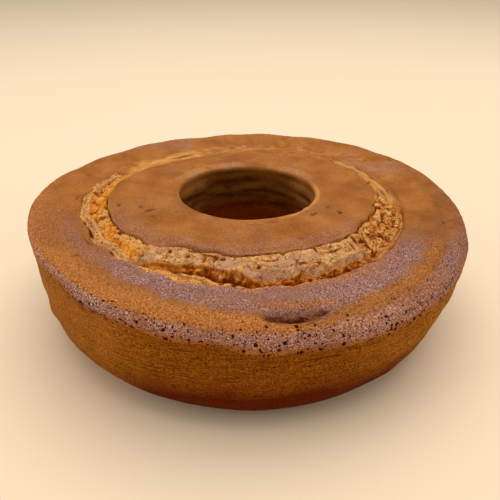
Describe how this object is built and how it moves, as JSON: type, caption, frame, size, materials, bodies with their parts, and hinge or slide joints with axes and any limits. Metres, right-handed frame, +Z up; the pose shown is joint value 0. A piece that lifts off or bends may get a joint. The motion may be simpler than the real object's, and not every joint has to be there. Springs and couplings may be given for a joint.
{
  "type": "ring cake",
  "caption": "Corn cake baked in a ring tin, with a browned crust, a torn crack round its top and a central hole.",
  "frame": {"origin": "middle of the cake's box at the flat underside", "axes": "+Z up through the hole, -Y towards the side where the dent in the outer ring lies"},
  "size_m": [0.243, 0.2424, 0.0708],
  "materials": {
    "crust": "matt browned crust with a fine suede-like grain, dusty mauve at the rim, torn golden crumb in the crack"
  },
  "bodies": {
    "root": {"cake": "crust"}
  },
  "joints": []
}
